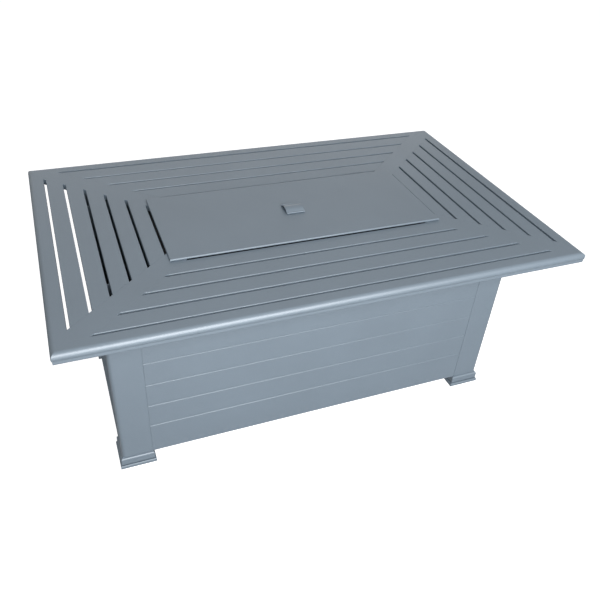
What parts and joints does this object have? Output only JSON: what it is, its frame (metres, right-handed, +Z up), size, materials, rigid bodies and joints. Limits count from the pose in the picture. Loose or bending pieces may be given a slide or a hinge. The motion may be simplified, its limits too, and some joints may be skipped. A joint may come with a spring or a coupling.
{
  "type": "fire pit table",
  "caption": "Rectangular gas fire pit table: slatted overhanging top with mitre bars and a lift-off burner lid, planked base on plinth feet with a hinged tank door.",
  "frame": {"origin": "on the floor under the middle of the table", "axes": "+X along the table towards the end with the tank door, +Y towards the long side with the controls, +Z up"},
  "size_m": [1.47, 0.932, 0.636],
  "materials": {
    "slate_coat": "satin",
    "black_coat": "matte",
    "zinc_steel": "satin",
    "stainless": "satin",
    "brass": "satin",
    "black_plastic": "matte",
    "red_plastic": "gloss",
    "black_rubber": "matte",
    "lava_stone": "matte",
    "white_ceramic": "gloss"
  },
  "bodies": {
    "table": {"rim_front": "slate_coat", "rim_back": "slate_coat", "rim_left": "slate_coat", "rim_right": "slate_coat", "mitre_bar_front_left": "slate_coat", "mitre_bar_front_right": "slate_coat", "mitre_bar_back_left": "slate_coat", "mitre_bar_back_right": "slate_coat", "front_boards": "slate_coat", "back_boards": "slate_coat", "left_boards": "slate_coat", "right_boards": "slate_coat", "post_front_left": "slate_coat", "post_front_right": "slate_coat", "post_back_left": "slate_coat", "post_back_right": "slate_coat", "foot_front_left": "slate_coat", "foot_front_right": "slate_coat", "foot_back_left": "slate_coat", "foot_back_right": "slate_coat", "front_planks": "slate_coat", "back_planks": "slate_coat", "left_planks": "slate_coat", "right_header": "slate_coat", "top_rail_front": "black_coat", "top_rail_back": "black_coat", "cross_bar_left": "black_coat", "cross_bar_right": "black_coat", "bottom_rails": "zinc_steel", "bottom_tray": "zinc_steel", "tank_ring": "zinc_steel", "burner_pan": "black_coat", "gas_burner": "stainless", "air_mixer": "brass", "supply_tube": "stainless", "lava_rocks": "lava_stone", "heat_shield": "stainless", "gas_valve": "brass", "control_plate": "stainless", "igniter_body": "black_plastic", "ignition_lead": "black_plastic", "spark_electrode": "white_ceramic", "thermocouple": "brass", "pilot_bracket": "stainless", "post_hinge_leaves": "zinc_steel", "door_catch": "black_plastic", "frame_screws": "black_coat", "small_screws": "zinc_steel"},
    "door": {"door_planks": "slate_coat", "door_liner": "zinc_steel", "door_pull": "stainless", "door_hinge_leaves": "zinc_steel"},
    "lid": {"lid_panel": "slate_coat", "lid_handle": "slate_coat", "lid_stiffeners": "slate_coat", "lid_bumpers": "black_rubber"},
    "knob_carriage": {"thrust_washer": "zinc_steel"},
    "knob": {"control_knob": "black_plastic", "valve_stem": "zinc_steel"},
    "igniter_button": {"igniter_button": "red_plastic"}
  },
  "joints": [
    {"name": "lid_lift", "type": "slide", "parent": "table", "child": "lid", "axis": [0, 0, 1], "range_m": [0, 0.15]},
    {"name": "door_hinge", "type": "hinge", "parent": "table", "child": "door", "pos_m": [0.6193, 0.20775, 0.0425], "axis": [0, 0, 1], "range_deg": [0, 110]},
    {"name": "knob_push", "type": "slide", "parent": "table", "child": "knob_carriage", "axis": [0, -1, 0], "range_m": [0, 0.0035], "stiffness_N_per_m": 900, "springref_m": -0.002},
    {"name": "knob_turn", "type": "hinge", "parent": "knob_carriage", "child": "knob", "pos_m": [-0.055, 0.2986, 0.50925], "axis": [0, 1, 0], "range_deg": [0, 180]},
    {"name": "igniter_push", "type": "slide", "parent": "table", "child": "igniter_button", "axis": [0, -1, 0], "range_m": [0, 0.0035], "stiffness_N_per_m": 800, "springref_m": -0.002}
  ]
}
